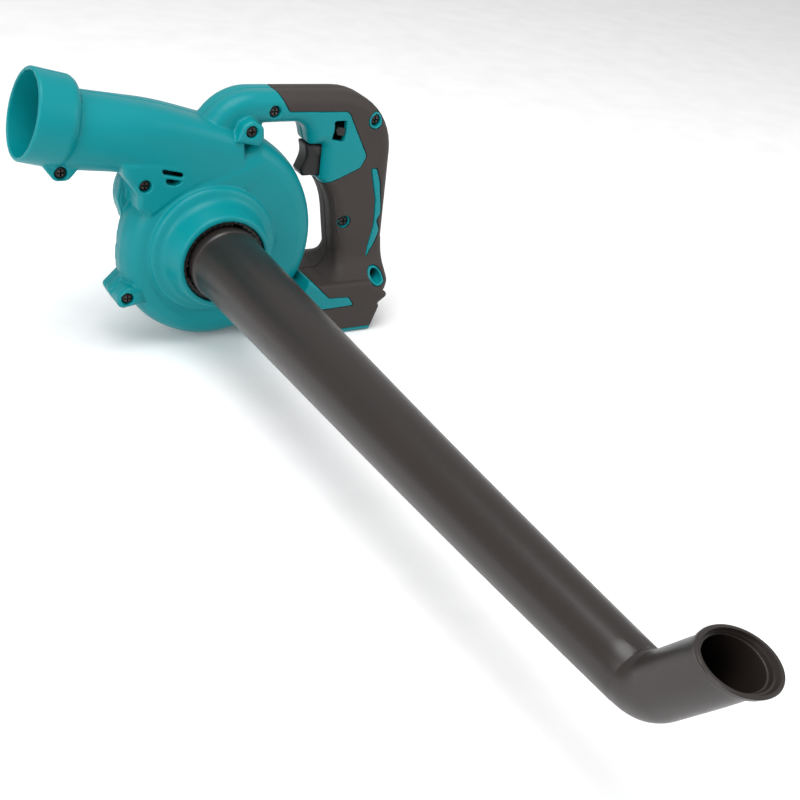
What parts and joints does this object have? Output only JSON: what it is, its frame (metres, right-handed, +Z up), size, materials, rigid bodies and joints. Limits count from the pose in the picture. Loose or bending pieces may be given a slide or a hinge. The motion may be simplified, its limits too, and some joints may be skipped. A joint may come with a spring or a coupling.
{
  "type": "leaf blower",
  "caption": "Hand-held cordless leaf blower with a scroll housing, top outlet, soft grip, trigger, and a long bent-tip nozzle fitted to the side inlet.",
  "frame": {"origin": "middle of the terminal block's lower face, where a battery seats", "axes": "+Z up, +X from the air outlet towards the grip, -Y the inlet side where the long nozzle points"},
  "size_m": [0.3066, 0.712, 0.2186],
  "materials": {
    "teal_plastic": "fine satin moulding texture",
    "black_plastic": "satin",
    "nozzle_plastic": "satin gloss",
    "soft_grip": "matte elastomer",
    "steel": "drawn",
    "dark_steel": "blackened",
    "copper": "enamelled copper",
    "brass": "plain",
    "rubber": "matte",
    "red_insulation": "plain",
    "ferrite": "ground ferrite",
    "carbon": "pressed carbon"
  },
  "bodies": {
    "housing": {"housing_left": "teal_plastic", "housing_right": "teal_plastic", "grip_skin_left": "soft_grip", "grip_skin_right": "soft_grip", "outlet_screw": "dark_steel", "tongue_screw": "dark_steel", "lower_lug_screw": "dark_steel", "upper_lug_screw": "dark_steel", "handle_front_screw": "dark_steel", "handle_rear_screw": "dark_steel", "grip_screw": "dark_steel", "base_screw": "dark_steel", "inlet_ring": "black_plastic", "motor_can": "steel", "front_bearing": "steel", "rear_bearing": "steel", "upper_magnet": "ferrite", "lower_magnet": "ferrite", "left_brush": "carbon", "right_brush": "carbon", "motor_end_bell": "black_plastic", "motor_ring": "rubber", "motor_cover": "teal_plastic", "switch_body": "black_plastic", "controller": "black_plastic", "terminal_block": "black_plastic", "left_terminal": "brass", "right_terminal": "brass", "battery_lead_red": "red_insulation", "battery_lead_black": "rubber", "motor_lead_red": "red_insulation", "motor_lead_black": "rubber"},
    "fan": {"impeller": "black_plastic", "impeller_nut": "steel", "motor_shaft": "steel", "armature_core": "steel", "front_winding": "copper", "rear_winding": "copper", "commutator": "copper"},
    "trigger": {"trigger": "black_plastic", "switch_plunger": "brass"},
    "speed_lever": {"speed_lever": "black_plastic"},
    "nozzle": {"nozzle": "nozzle_plastic"}
  },
  "joints": [
    {"name": "fan_spin", "type": "hinge", "parent": "housing", "child": "fan", "pos_m": [-0.112, 0, 0.077], "axis": [0, 1, 0], "continuous": true},
    {"name": "trigger_pull", "type": "slide", "parent": "housing", "child": "trigger", "axis": [1, 0, 0], "range_m": [0, 0.0065], "stiffness_N_per_m": 400, "springref_m": -0.005},
    {"name": "speed_select", "type": "hinge", "parent": "housing", "child": "speed_lever", "pos_m": [-0.003, -0.015, 0.1625], "axis": [0, 1, 0], "range_deg": [-15, 15]},
    {"name": "nozzle_twist", "type": "hinge", "parent": "housing", "child": "nozzle", "pos_m": [-0.112, -0.034, 0.077], "axis": [0, 1, 0], "range_deg": [0, 35]}
  ]
}
